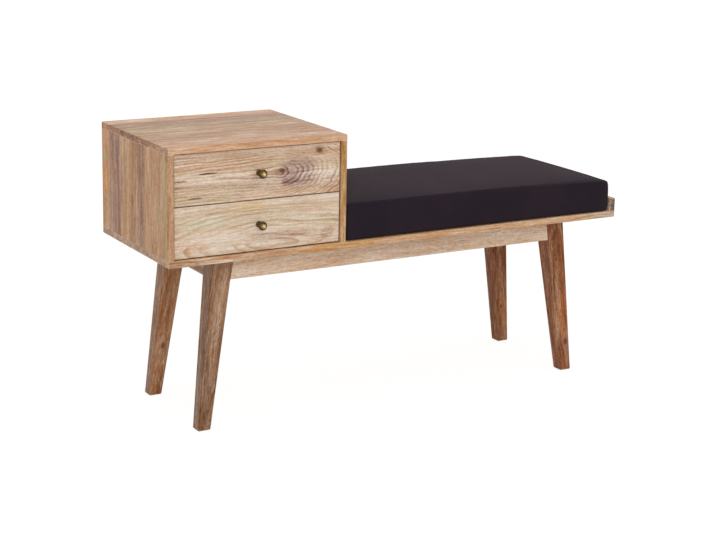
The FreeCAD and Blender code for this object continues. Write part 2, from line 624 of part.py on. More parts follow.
def cushion_section(x, half_width, foot, edge, front_top, crown_top, back_top):
    """A closed section across the cushion: flat foot, bulging sides, rounded shoulders, crowned top."""
    def point(y, z):
        return FreeCAD.Vector(x, y, z)

    bulge = half_width + value("dims.cushion_bulge")
    diagonal = 1 - math.sqrt(0.5)
    edges = [Part.LineSegment(point(-half_width + foot, 0), point(half_width - foot, 0)),
             Part.Arc(point(half_width - foot, 0), point(half_width - foot * diagonal, foot * diagonal),
                      point(half_width, foot)),
             Part.Arc(point(half_width, foot), point(bulge, (foot + back_top - edge) / 2),
                      point(half_width, back_top - edge)),
             Part.Arc(point(half_width, back_top - edge),
                      point(half_width - edge * diagonal, back_top - edge * diagonal),
                      point(half_width - edge, back_top)),
             Part.Arc(point(half_width - edge, back_top), point(0, crown_top),
                      point(-half_width + edge, front_top)),
             Part.Arc(point(-half_width + edge, front_top),
                      point(-half_width + edge * diagonal, front_top - edge * diagonal),
                      point(-half_width, front_top - edge)),
             Part.Arc(point(-half_width, front_top - edge), point(-bulge, (foot + front_top - edge) / 2),
                      point(-half_width, foot)),
             Part.Arc(point(-half_width, foot), point(-half_width + foot * diagonal, foot * diagonal),
                      point(-half_width + foot, 0))]
    return Part.Wire([piece.toShape() for piece in edges])


def make_cushion():
    """The loose seat cushion: a crowned slab, drawn in along its sides, that sinks towards its open end."""
    length = value("dims.bench_length - dims.case_width - dims.lip_thickness - 2 * dims.cushion_gap")
    width = value("dims.bench_depth - 2 * dims.cushion_setback - 2 * dims.cushion_bulge")
    corner = value("dims.cushion_corner")
    edge = value("dims.cushion_edge")
    rounds = [corner * (1 - math.cos(math.radians(angle))) for angle in (0, 20, 40, 60, 78, 90)]
    stations = rounds + [length * share for share in (0.1, 0.2, 0.3, 0.4, 0.5, 0.6, 0.7, 0.8, 0.9)]
    stations += [length - inset for inset in reversed(rounds)]
    sections = []
    for x in stations:
        share = x / length
        end_distance = min(x, length - x, corner)
        rounding = 1 - math.sqrt(max(0, 1 - (1 - end_distance / corner) ** 2))
        middle = 4 * share * (1 - share)
        half_width = width / 2 - value("dims.cushion_draw_in") * middle - rounding * corner
        sunk = value("dims.cushion_end_drop") * share ** 3
        front_top = value("dims.cushion_height") - sunk - rounding * edge
        back_top = front_top - value("dims.cushion_back_drop") * (1 - share)
        crown = value("dims.cushion_crown") * (0.2 + 0.8 * math.sqrt(middle))
        crown_top = (front_top + back_top) / 2 + crown
        sections.append(cushion_section(x, half_width, value("dims.cushion_foot_edge"), edge,
                                        front_top, crown_top, back_top))
    cushion = doc.addObject("Part::Feature", "seat_cushion")
    cushion.Shape = Part.makeLoft(sections, True, True)
    cushion.Placement.Base = FreeCAD.Vector(value(f"{LEFT} + dims.case_width + dims.cushion_gap"),
                                            value(MIDDLE_Y), value(f"{BOARD_TOP} + dims.cushion_clearance"))
    keep(cushion)


make_board()
make_case_top()
make_case_sides()
make_case_back()
make_lip()
make_legs()
make_aprons()
make_corner_blocks()
make_runners("lower")
make_runners("upper")
make_drawer("lower")
make_drawer("upper")
make_cushion()
doc.recompute()

for item in doc.Objects:
    if "Invalid" in item.State or "Error" in item.State:
        raise RuntimeError(f"{item.Name} failed to build: {item.State}")
os.makedirs("parts", exist_ok=True)
for item in parts:
    if item.Shape.isNull() or not item.Shape.isValid() or not item.Shape.Solids:
        raise RuntimeError(f"{item.Label} has no valid solid")
    item.Shape.exportStep(f"parts/{item.Label}.step")
print(f"{len(parts)} sub-parts written")
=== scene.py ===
import math

import bmesh
import bpy
from mathutils import Matrix, Vector
from mathutils.bvhtree import BVHTree


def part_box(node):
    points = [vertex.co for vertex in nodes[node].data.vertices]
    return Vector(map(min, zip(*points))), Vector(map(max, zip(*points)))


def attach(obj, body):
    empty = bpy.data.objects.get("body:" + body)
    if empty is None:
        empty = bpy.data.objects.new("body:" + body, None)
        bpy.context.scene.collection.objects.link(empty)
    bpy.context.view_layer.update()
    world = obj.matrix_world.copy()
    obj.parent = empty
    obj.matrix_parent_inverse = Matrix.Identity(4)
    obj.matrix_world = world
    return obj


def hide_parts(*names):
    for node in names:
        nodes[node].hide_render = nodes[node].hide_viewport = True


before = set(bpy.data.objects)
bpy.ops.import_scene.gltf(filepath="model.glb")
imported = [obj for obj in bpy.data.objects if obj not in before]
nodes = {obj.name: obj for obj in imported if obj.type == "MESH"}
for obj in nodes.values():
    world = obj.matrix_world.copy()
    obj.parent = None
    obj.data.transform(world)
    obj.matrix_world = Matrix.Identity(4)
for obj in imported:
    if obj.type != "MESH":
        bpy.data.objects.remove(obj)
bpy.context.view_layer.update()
scene = bpy.context.scene


# Camera: the photograph's viewing angle, from the front left and a little above.
# The lens and the small shift of the frame are in pixels of the picture, and the place is in metres.
PICTURE_WIDTH = 716
LENS_PIXELS = 1691.35
YAW = math.radians(29.13)
PITCH = math.radians(12.95)
ROLL = math.radians(0.89)
CAMERA_PLACE = (-1.83706, -3.12128, 1.20281)
SENSOR = 36.0
FRAME_SHIFT_X = 28.0
FRAME_SHIFT_Y = -50.0


def make_camera():
    forward = Vector((
        math.sin(YAW) * math.cos(PITCH),
        math.cos(YAW) * math.cos(PITCH),
        -math.sin(PITCH),
    ))
    right = Vector((math.cos(YAW), -math.sin(YAW), 0.0))
    up = right.cross(forward)
    across = right * math.cos(ROLL) + up * math.sin(ROLL)
    upright = -right * math.sin(ROLL) + up * math.cos(ROLL)
    data = bpy.data.cameras.new("camera")
    data.sensor_width = SENSOR
    data.lens = LENS_PIXELS * SENSOR / PICTURE_WIDTH
    data.shift_x = FRAME_SHIFT_X / PICTURE_WIDTH
    data.shift_y = FRAME_SHIFT_Y / PICTURE_WIDTH
    data.clip_start = 0.05
    data.clip_end = 60.0
    camera = bpy.data.objects.new("camera", data)
    turn = Matrix((across, upright, -forward)).transposed().to_4x4()
    camera.matrix_world = Matrix.Translation(CAMERA_PLACE) @ turn
    scene.collection.objects.link(camera)
    scene.camera = camera


def rgb(red, green, blue):
    """A colour written in display values from 0 to 255, as the linear values that shaders take."""
    linear = []
    for part in (red, green, blue):
        share = part / 255.0
        linear.append(share / 12.92 if share <= 0.04045 else ((share + 0.055) / 1.055) ** 2.4)
    return (*linear, 1.0)


class Tree:
    """The nodes of one material or world. Most calls add a node and return its output."""

    def __init__(self, name, kind="materials"):
        self.owner = getattr(bpy.data, kind).new(name)
        self.owner.use_nodes = True
        self.tree = self.owner.node_tree
        self.tree.nodes.clear()

    def put(self, socket, value):
        if isinstance(value, bpy.types.NodeSocket):
            self.tree.links.new(value, socket)
        else:
            socket.default_value = value

    def node(self, kind, inputs=None, **settings):
        made = self.tree.nodes.new("ShaderNode" + kind)
        for key, value in settings.items():
            setattr(made, key, value)
        for key, value in (inputs or {}).items():
            self.put(made.inputs[key], value)
        return made

    def math(self, operation, *values, clamp=False):
        made = self.node("Math", dict(enumerate(values)), operation=operation, use_clamp=clamp)
        return made.outputs[0]

    def vector(self, operation, *values):
        made = self.node("VectorMath", dict(enumerate(values)), operation=operation)
        return made.outputs["Value" if operation in ("LENGTH", "DOT_PRODUCT", "DISTANCE") else "Vector"]

    def split(self, vector):
        return self.node("SeparateXYZ", {0: vector}).outputs[:]

    def join(self, x, y, z):
        return self.node("CombineXYZ", {0: x, 1: y, 2: z}).outputs[0]

    def scaled(self, vector, scale):
        return self.vector("MULTIPLY", vector, scale)

    def noise(self, vector, scale, detail=2.0, roughness=0.5):
        return self.node(
            "TexNoise",
            {"Vector": self.scaled(vector, scale), "Scale": 1.0, "Detail": detail, "Roughness": roughness},
        ).outputs

    def step(self, value, low, high, start=0.0, end=1.0):
        made = self.node(
            "MapRange",
            {"Value": value, "From Min": low, "From Max": high, "To Min": start, "To Max": end},
            interpolation_type="SMOOTHSTEP",
        )
        return made.outputs["Result"]

    def blend(self, share, first, second, how="MIX"):
        made = self.node("Mix", data_type="RGBA", blend_type=how)
        self.put(made.inputs["Factor"], share)
        self.put(made.inputs[6], first)
        self.put(made.inputs[7], second)
        return made.outputs[2]

    def ramp(self, value, stops, interpolation="LINEAR"):
        made = self.node("ValToRGB", {"Fac": value})
        made.color_ramp.interpolation = interpolation
        elements = made.color_ramp.elements
        elements[0].position = stops[0][0]
        elements[0].color = stops[0][1]
        elements.remove(elements[1])
        for position, colour in stops[1:]:
            elements.new(position).color = colour
        return made.outputs

    def finish(self, surface, kind="OutputMaterial"):
        output = self.node(kind)
        self.tree.links.new(surface, output.inputs["Surface"])
        return self.owner


def spot(tree, along, across, at, size, hard=0.25):
    """A soft oval, 1 inside and 0 outside."""
    u = tree.math("DIVIDE", tree.math("SUBTRACT", along, at[0]), size[0])
    v = tree.math("DIVIDE", tree.math("SUBTRACT", across, at[1]), size[1])
    far = tree.math("SQRT", tree.math("ADD", tree.math("MULTIPLY", u, u), tree.math("MULTIPLY", v, v)))
    return tree.step(far, 1.0, hard)


WOOD = dict(
    axes="xyz",         # which axis runs along the grain, across the show face, and into it
    lean=(0.0, 0.0),    # how far the grain leans across and in, for each metre along
    seed=0.0,
    base=rgb(186, 152, 124),
    staves=(),          # (where the stave ends across the grain, its colour)
    streak=0.50,        # how strongly each layer of the figure darkens the wood
    streak_scale=(14.0, 260.0, 260.0),
    band=0.30,
    band_scale=(2.5, 48.0, 48.0),
    fibre=0.30,
    pore=0.35,
    pore_scale=(60.0, 900.0, 900.0),
    fleck=0.16,
    ring=0.30,
    ring_at=(0.05, 0.02, 0.07),     # the middle of the growth rings
    ring_pull=(0.10, 0.10),         # below 1 draws the rings out along the grain, on either side
    ring_gap=0.0075,
    ring_point=2.0,     # 2 makes oval rings, and less makes them pointed
    ring_stray=2.2,     # how far the rings wander, in rings
    hues=(              # (share, colour) of three broad clouds of colour
        (0.16, rgb(150, 118, 104)),
        (0.14, rgb(178, 160, 118)),
        (0.16, rgb(196, 142, 96)),
    ),
    patches=(),         # (place along and across, size, colour, share)
    knots=(),           # (place along and across, radius)
    faces=(),           # (side of the block, axis, from and to along that axis, colour, share)
    end=rgb(140, 112, 92),
    end_share=0.55,
    # the colour painted on the rounded edges and its share: lighter than the wood it is a painted highlight,
    # darker, as on the drawer fronts, it is painted shade from the gaps
    edge=rgb(224, 184, 148),
    edge_share=0.45,
    rough=0.47,
)
# How far apart the figure of two seeds and of two staves is read.
SEED_SHIFT = (1.37, 0.71, 0.29)
STAVE_SHIFT = (3.17, 0.43, 0.77)
STAVE_RING_SHIFT = 0.013
WIDEST_STAVE = 0.2
# The staves' ramp also carries the number of the stave, in its alpha, as a share of this.
STAVE_CODE = 16.0
# How far from a knot the grain bends, and how far its halo and its core reach, in knot radii.
KNOT_BEND = (5.0, 2.6)
KNOT_HALO = (2.4, 1.6)
KNOT_CORE = (1.2, 0.8)
KNOT_HALO_TINT = rgb(150, 98, 76)
KNOT_CORE_TINT = rgb(96, 62, 50)


def around(radius, reach):
    return tuple(radius * part for part in reach)


def wood(name, **changes):
    """Oiled solid wood. It follows the object's own coordinates, so it is one solid block of grain."""
    s = {**WOOD, **changes}
    t = Tree(name)
    source = t.node("TexCoord").outputs
    parts = dict(zip("xyz", t.split(source["Object"])))
    along, across, inward = (parts[axis] for axis in s["axes"])
    if s["lean"][0]:
        across = t.math("ADD", across, t.math("MULTIPLY", along, s["lean"][0]))
        inward = t.math("ADD", inward, t.math("MULTIPLY", along, s["lean"][1]))
    raw_along, raw_across = along, across

    colour = s["base"]
    number = 0.0
    if s["staves"]:
        ends = [end for end, tint in s["staves"]]
        low, high = ends[0] - WIDEST_STAVE, ends[-1]
        share = t.math("DIVIDE", t.math("SUBTRACT", across, low), high - low)
        stops = []
        for index, (end, tint) in enumerate(s["staves"]):
            start = 0.0 if index == 0 else (ends[index - 1] - low) / (high - low)
            stops.append((start, (*tint[:3], (index + 1) / STAVE_CODE)))
        stave = t.ramp(share, stops, "CONSTANT")
        colour = stave["Color"]
        number = t.math("MULTIPLY", stave["Alpha"], STAVE_CODE)

    place = t.join(along, across, inward)
    place = t.vector("ADD", place, tuple(s["seed"] * far for far in SEED_SHIFT))
    if s["staves"]:
        shift = t.join(*(t.math("MULTIPLY", number, far) for far in STAVE_SHIFT))
        place = t.vector("ADD", place, shift)

    for at, radius in s["knots"]:
        near = spot(t, raw_along, raw_across, at, around(radius, KNOT_BEND), 0.0)
        push = t.math("MULTIPLY", t.math("SUBTRACT", at[1], raw_across), t.math("MULTIPLY", near, 0.8))
        place = t.vector("ADD", place, t.join(0.0, push, 0.0))
        across = t.math("ADD", across, push)

    slow = t.noise(place, (2.2, 9.0, 9.0), 1.0)["Color"]
    quick = t.noise(place, (11.0, 48.0, 48.0), 2.0)["Color"]
    wander = t.vector("ADD", t.scaled(t.vector("SUBTRACT", slow, (0.5, 0.5, 0.5)), (0.0, 0.030, 0.030)),
                      t.scaled(t.vector("SUBTRACT", quick, (0.5, 0.5, 0.5)), (0.0, 0.0030, 0.0030)))
    place = t.vector("ADD", place, wander)
    wander_across = t.split(wander)[1]
    across = t.math("ADD", across, wander_across)

    broad = t.noise(place, (3.0, 22.0, 22.0), 2.0)["Color"]
    for (share, tint), part in zip(s["hues"], t.split(broad)):
        colour = t.blend(t.math("MULTIPLY", t.step(part, 0.50, 0.64), share), colour, tint)
    feather = t.noise(place, (9.0, 150.0, 150.0), 3.0, 0.6)["Fac"]
    for at, size, tint, share in s["patches"]:
        mask = spot(t, raw_along, across, at, size, 0.1)
        both = t.math("ADD", t.math("MULTIPLY", mask, 0.75), t.math("MULTIPLY", feather, 0.65))
        ragged = t.math("MULTIPLY", t.step(both, 0.42, 0.92), t.step(mask, 0.0, 0.25))
        colour = t.blend(t.math("MULTIPLY", ragged, share), colour, tint)

    normal = t.split(source["Normal"])
    facing = normal["xyz".index(s["axes"][0])]
    cut = t.step(t.math("ABSOLUTE", facing), 0.62, 0.92)
    colour = t.blend(t.math("MULTIPLY", cut, s["end_share"]), colour, s["end"])
    for side, axis, start, stop, tint, share in s["faces"]:
        part = normal["xyz".index(side[1])]
        turned = t.step(t.math("MULTIPLY", part, -1.0 if side[0] == "-" else 1.0), 0.60, 0.85)
        fade = 0.03 if axis == s["axes"][0] else 0.0015
        within = t.math("MULTIPLY", t.step(parts[axis], start - fade, start + fade),
                        t.step(parts[axis], stop + fade, stop - fade))
        colour = t.blend(t.math("MULTIPLY", t.math("MULTIPLY", turned, within), share), colour, tint)

    band = t.noise(place, s["band_scale"], 3.0, 0.6)["Fac"]
    streak = t.noise(place, s["streak_scale"], 3.0, 0.65)["Fac"]
    fibre = t.noise(place, (45.0, 1000.0, 1000.0), 2.0, 0.6)["Fac"]
    pore = t.step(t.noise(place, s["pore_scale"], 1.0)["Fac"], 0.60, 0.70)
    fleck = t.noise(place, (150.0, 420.0, 420.0), 2.0, 0.6)["Fac"]

    ring_along = t.math("SUBTRACT", raw_along, s["ring_at"][0])
    pulled = t.math("ADD", t.math("MULTIPLY", t.math("MINIMUM", ring_along, 0.0), s["ring_pull"][0]),
                    t.math("MULTIPLY", t.math("MAXIMUM", ring_along, 0.0), s["ring_pull"][1]))
    apart = t.math("SUBTRACT", across, s["ring_at"][1])
    apart = t.math("ADD", apart, t.math("MULTIPLY", number, STAVE_RING_SHIFT))
    depth = t.math("SUBTRACT", inward, s["ring_at"][2])
    if s["ring_point"] == 2.0:
        radius = t.vector("LENGTH", t.join(pulled, apart, depth))
    else:
        point = s["ring_point"]
        bulge = [t.math("POWER", t.math("ABSOLUTE", part), point) for part in (pulled, apart, depth)]
        total = t.math("ADD", bulge[0], t.math("ADD", bulge[1], bulge[2]))
        radius = t.math("POWER", total, 1.0 / point)
    count = t.math("ADD", t.math("DIVIDE", radius, s["ring_gap"]),
                   t.math("MULTIPLY", t.noise(place, (5.0, 26.0, 26.0), 2.0)["Fac"], s["ring_stray"]))
    count = t.math("ADD", count, t.math("MULTIPLY", t.noise(place, (22.0, 110.0, 110.0), 2.0)["Fac"], 0.9))
    turn = t.math("FRACT", count)
    strength = t.node("TexWhiteNoise", {"W": t.math("FLOOR", count)}, noise_dimensions="1D").outputs["Value"]
    line = t.math("MULTIPLY", t.step(turn, 0.30, 0.90), t.step(turn, 1.0, 0.93))
    line = t.math("MULTIPLY", line, t.step(strength, 0.0, 1.0, 0.15, 1.0))
    faded = t.step(t.noise(place, (9.0, 40.0, 40.0), 2.0)["Fac"], 0.34, 0.60, 0.20, 1.0)
    line = t.math("MULTIPLY", line, faded)

    # The colour is raised to this power. Above 1 it gets darker and warmer, as resin makes it.
    power = 1.0
    for layer, amount in ((band, s["band"]), (streak, s["streak"]), (fibre, s["fibre"]), (fleck, s["fleck"])):
        power = t.math("ADD", power, t.math("MULTIPLY", t.math("SUBTRACT", 0.5, layer), amount * 4.0))
    power = t.math("ADD", power, t.math("MULTIPLY", t.math("SUBTRACT", line, 0.3), s["ring"]))
    power = t.math("ADD", power, t.math("MULTIPLY", pore, s["pore"]))
    power = t.math("MAXIMUM", power, 0.35)
    colour = t.node("Gamma", {"Color": colour, "Gamma": power}).outputs[0]

    for at, radius in s["knots"]:
        halo = spot(t, raw_along, raw_across, at, around(radius, KNOT_HALO), 0.1)
        core = spot(t, raw_along, raw_across, at, around(radius, KNOT_CORE), 0.45)
        colour = t.blend(t.math("MULTIPLY", halo, 0.55), colour, KNOT_HALO_TINT)
        colour = t.blend(t.math("MULTIPLY", core, 0.80), colour, KNOT_CORE_TINT)

    # The rounded edges take the edge colour, a painted highlight where it is lighter and painted shade where
    # it is darker.
    bevel = t.node("Bevel", {"Radius": 0.0032}, samples=4).outputs[0]
    flat = t.node("NewGeometry").outputs["Normal"]
    turned = t.math("SUBTRACT", 1.0, t.vector("DOT_PRODUCT", bevel, flat))
    edge_tone = t.math("MULTIPLY", t.step(turned, 0.015, 0.20),
                  t.step(t.noise(place, (60.0, 60.0, 60.0), 2.0)["Fac"], 0.30, 0.62, 0.35, 1.0))
    colour = t.blend(t.math("MULTIPLY", edge_tone, s["edge_share"]), colour, s["edge"])

    rough = t.math("ADD", s["rough"], t.math("MULTIPLY", t.math("SUBTRACT", 0.5, streak), 0.35))
    rough = t.math("ADD", rough, t.math("MULTIPLY", pore, 0.12), clamp=True)
    height = t.math("ADD", t.math("MULTIPLY", streak, 0.5), t.math("MULTIPLY", fibre, 0.5))
    height = t.math("SUBTRACT", height, t.math("MULTIPLY", pore, 0.6))
    height = t.math("SUBTRACT", height, t.math("MULTIPLY", line, 0.2))
    bump = t.node("Bump", {"Strength": 0.35, "Distance": 0.0005, "Height": height}).outputs[0]
    surface = t.node("BsdfPrincipled", {
        "Base Color": colour, "Roughness": rough, "Normal": bump,
        "Specular IOR Level": 0.12,
    })
    return t.finish(surface.outputs[0])


def dress(name, material):
    """Gives a CAD node its finished material."""
    slots = nodes[name].data.materials
    if len(slots):
        for index in range(len(slots)):
            slots[index] = material
    else:
        slots.append(material)


SIDE_STAVES = (
    (-0.1296, rgb(178, 140, 104)),
    (-0.044, rgb(184, 142, 110)),
    (-0.008, rgb(156, 118, 94)),
    (0.078, rgb(186, 146, 110)),
    (0.139, rgb(158, 120, 100)),
    (0.186, rgb(186, 136, 92)),
)
TOP_STAVES = (
    (-0.095, rgb(186, 140, 102)),
    (0.003, rgb(176, 134, 96)),
    (0.085, rgb(172, 134, 94)),
    (0.138, rgb(156, 118, 86)),
    (0.186, rgb(190, 138, 96)),
)
# How far the legs lean out, for each metre of height, and what each one shows.
LEG_LEAN_X = 0.127
LEG_LEAN_Y = 0.041
LEG_TINTS = {
    ("front", "left"): rgb(146, 108, 80),
    ("back", "left"): rgb(160, 108, 72),
    ("front", "right"): rgb(144, 82, 44),
    ("back", "right"): rgb(142, 88, 54),
}
LEG_KNOTS = {
    ("front", "left"): (),
    ("back", "left"): (((0.112, -0.457), 0.0075),),
    ("front", "right"): (((0.068, 0.462), 0.0085), ((0.265, 0.452), 0.004)),
    ("back", "right"): (((0.090, 0.455), 0.005),),
}
LEG_PATCHES = {
    ("front", "left"): (((0.07, -0.458), (0.10, 0.012), rgb(112, 86, 68), 0.45),
                        ((0.26, -0.450), (0.08, 0.008), rgb(172, 134, 104), 0.50),
                        ((0.15, -0.470), (0.12, 0.006), rgb(122, 96, 80), 0.45)),
    ("back", "left"): (((0.08, -0.458), (0.10, 0.020), rgb(150, 108, 74), 0.50),
                       ((0.17, -0.450), (0.06, 0.008), rgb(186, 140, 104), 0.60)),
    ("front", "right"): (((0.13, 0.462), (0.09, 0.030), rgb(166, 100, 58), 0.60),
                         ((0.30, 0.460), (0.10, 0.010), rgb(116, 78, 58), 0.45)),
    ("back", "right"): (((0.08, 0.460), (0.08, 0.020), rgb(164, 100, 54), 0.55),),
}
MAUVE = rgb(132, 102, 92)
DARK = rgb(120, 88, 70)
OCHRE = rgb(204, 144, 84)
GREEN = rgb(170, 156, 116)
PINK = rgb(200, 158, 138)


def dress_woods():
    """Gives each piece of wood its own grain, with the colours and knots that the photograph shows."""
    dress("case_side_left", wood(
        "case_side_left_wood", axes="zyx", seed=1.0, staves=SIDE_STAVES, ring=0.22, ring_at=(0.4, 0.0, -0.46),
        streak=0.22, streak_scale=(9.0, 200.0, 200.0), band=0.34, band_scale=(2.4, 26.0, 26.0), fleck=0.20,
        faces=(("-y", "z", 0.30, 0.70, rgb(192, 148, 114), 0.75),),
        patches=(
            ((0.478, 0.163), (0.045, 0.024), OCHRE, 0.75),
            ((0.531, 0.160), (0.020, 0.020), GREEN, 0.55),
            ((0.510, 0.072), (0.065, 0.007), MAUVE, 0.65),
            ((0.455, 0.074), (0.030, 0.006), MAUVE, 0.45),
            ((0.463, 0.040), (0.018, 0.008), OCHRE, 0.70),
            ((0.464, 0.016), (0.022, 0.010), MAUVE, 0.55),
            ((0.450, 0.028), (0.010, 0.016), OCHRE, 0.55),
            ((0.560, 0.100), (0.060, 0.020), MAUVE, 0.45),
            ((0.470, -0.122), (0.060, 0.018), GREEN, 0.40),
            ((0.580, -0.153), (0.014, 0.008), DARK, 0.55),
            ((0.420, 0.005), (0.040, 0.014), MAUVE, 0.35),
        )))
    dress("case_side_right", wood(
        "case_side_right_wood", axes="zyx", seed=2.0, base=rgb(172, 132, 92), ring_at=(0.4, 0.03, -0.06),
        # edge: a painted highlight on the rounded edges
        faces=(("-y", "z", 0.30, 0.70, rgb(190, 144, 94), 0.75),), edge=rgb(230, 190, 144),
        staves=(
            (-0.120, rgb(184, 142, 96)),
            (-0.030, rgb(176, 138, 104)),
            (0.060, rgb(164, 130, 106)),
            (0.130, rgb(180, 144, 114)),
            (0.186, rgb(168, 132, 104)),
        )))
    dress("case_top", wood(
        "case_top_wood", axes="xyz", seed=3.0, staves=TOP_STAVES, ring=0.24, ring_at=(-0.3, 0.02, 0.54),
        faces=(
            ("-y", "x", -0.60, -0.10, rgb(218, 176, 140), 0.80),
            ("-x", "y", -0.166, -0.092, rgb(168, 132, 106), 0.50),
            ("-x", "y", -0.046, -0.008, rgb(150, 110, 86), 0.50),
            ("-x", "y", -0.008, 0.078, rgb(128, 92, 72), 0.60),
            ("-x", "y", 0.138, 0.190, rgb(160, 112, 82), 0.50),
        ),
        # edge: a painted highlight on the rounded edges
        edge=rgb(234, 192, 156), edge_share=0.6, end=rgb(150, 112, 86), end_share=0.75,
        patches=(
            ((-0.515, 0.045), (0.050, 0.022), GREEN, 0.55),
            ((-0.430, 0.090), (0.110, 0.006), MAUVE, 0.60),
            ((-0.300, 0.104), (0.150, 0.009), MAUVE, 0.50),
            ((-0.250, 0.060), (0.100, 0.010), DARK, 0.35),
            ((-0.470, -0.120), (0.060, 0.030), PINK, 0.45),
        )))
    dress("bench_board", wood(
        "bench_board_wood", axes="xyz", seed=4.0, base=rgb(194, 156, 118),
        faces=(
            ("-y", "x", -0.60, -0.46, rgb(158, 112, 82), 0.80),
            ("-y", "x", -0.46, -0.25, rgb(190, 144, 112), 0.65),
            ("-y", "x", -0.25, -0.08, rgb(204, 154, 94), 0.65),
            ("-y", "x", -0.08, 0.46, rgb(212, 170, 132), 0.70),
            ("-y", "x", 0.48, 0.60, rgb(186, 158, 136), 0.75),
        ),
        end=rgb(160, 132, 112),
        staves=(
            (-0.085, rgb(200, 160, 120)),
            (0.010, rgb(180, 146, 118)),
            (0.095, rgb(190, 154, 122)),
            (0.186, rgb(178, 142, 112)),
        ),
        ))
    dress("case_back", wood("case_back_wood", axes="xzy", seed=5.0, staves=(
        (0.43, rgb(186, 150, 118)),
        (0.50, rgb(176, 142, 114)),
        (0.60, rgb(190, 156, 124)),
    ), ring_at=(-0.35, 0.47, 0.10)))
    dress("end_lip", wood(
        "end_lip_wood", axes="yxz", seed=6.0, base=rgb(182, 148, 118), end=rgb(92, 80, 70), end_share=0.9,
        # edge: a painted highlight on the rounded edges
        edge=rgb(226, 190, 156), edge_share=0.6, ring_at=(0.0, 0.56, 0.30)))

    for side, hand in (("left", -1), ("right", 1)):
        for end, back in (("front", -1), ("back", 1)):
            outer = "-x" if hand < 0 else "+x"
            # The legs' x faces are darkened with this painted shade, so they read less lit than the fronts.
            painted_side_shade = rgb(124, 96, 78) if hand < 0 else rgb(122, 80, 54)
            dress(f"leg_{end}_{side}", wood(
                f"leg_{end}_{side}_wood", axes="zxy", lean=(LEG_LEAN_X * hand, LEG_LEAN_Y * back),
                seed=7.0 + hand + back * 2.3,
                base=LEG_TINTS[end, side],
                ring_at=(0.1, 0.46 * hand, 0.16 * back), ring=0.42, ring_gap=0.006,
                band=0.30, band_scale=(6.0, 70.0, 70.0), streak=0.22, streak_scale=(22.0, 200.0, 200.0),
                fibre=0.14, fleck=0.20, pore=0.55,
                patches=LEG_PATCHES[end, side], knots=LEG_KNOTS[end, side],
                faces=(
                    (outer, "z", -0.1, 0.5, painted_side_shade, 0.45),
                    ("-x", "z", -0.1, 0.5, painted_side_shade, 0.30),
                ),
                # edge: a painted highlight on the rounded edges
                end=rgb(96, 70, 56), edge=rgb(204, 160, 126), edge_share=0.75,
                hues=((0.25, rgb(118, 88, 72)), (0.20, rgb(140, 116, 88)), (0.25, rgb(166, 108, 70)))))
    for name, axes, seed, tint in (
        ("apron_front", "xzy", 21.0, rgb(222, 194, 168)),
        ("apron_back", "xzy", 22.0, rgb(210, 182, 154)),
        # apron_left's darker colour is painted shade, where it stands under the case side
        ("apron_left", "yzx", 23.0, rgb(164, 132, 108)),
        ("apron_right", "yzx", 24.0, rgb(186, 152, 124)),
    ):
        dress(name, wood(
            name + "_wood", axes=axes, seed=seed, base=tint, pore=0.75, pore_scale=(55.0, 520.0, 520.0),
            streak=0.24, fibre=0.20, fleck=0.32, band=0.34, band_scale=(4.0, 60.0, 60.0), ring=0.32,
            ring_at=(0.1, 0.30, -0.02), end=rgb(132, 100, 82)))
    for end in ("front", "back"):
        for side in ("left", "right"):
            dress(f"corner_block_{end}_{side}", wood(
                f"corner_block_{end}_{side}_wood", axes="xyz", seed=30.0 + len(end) + len(side),
                base=rgb(196, 164, 130)))

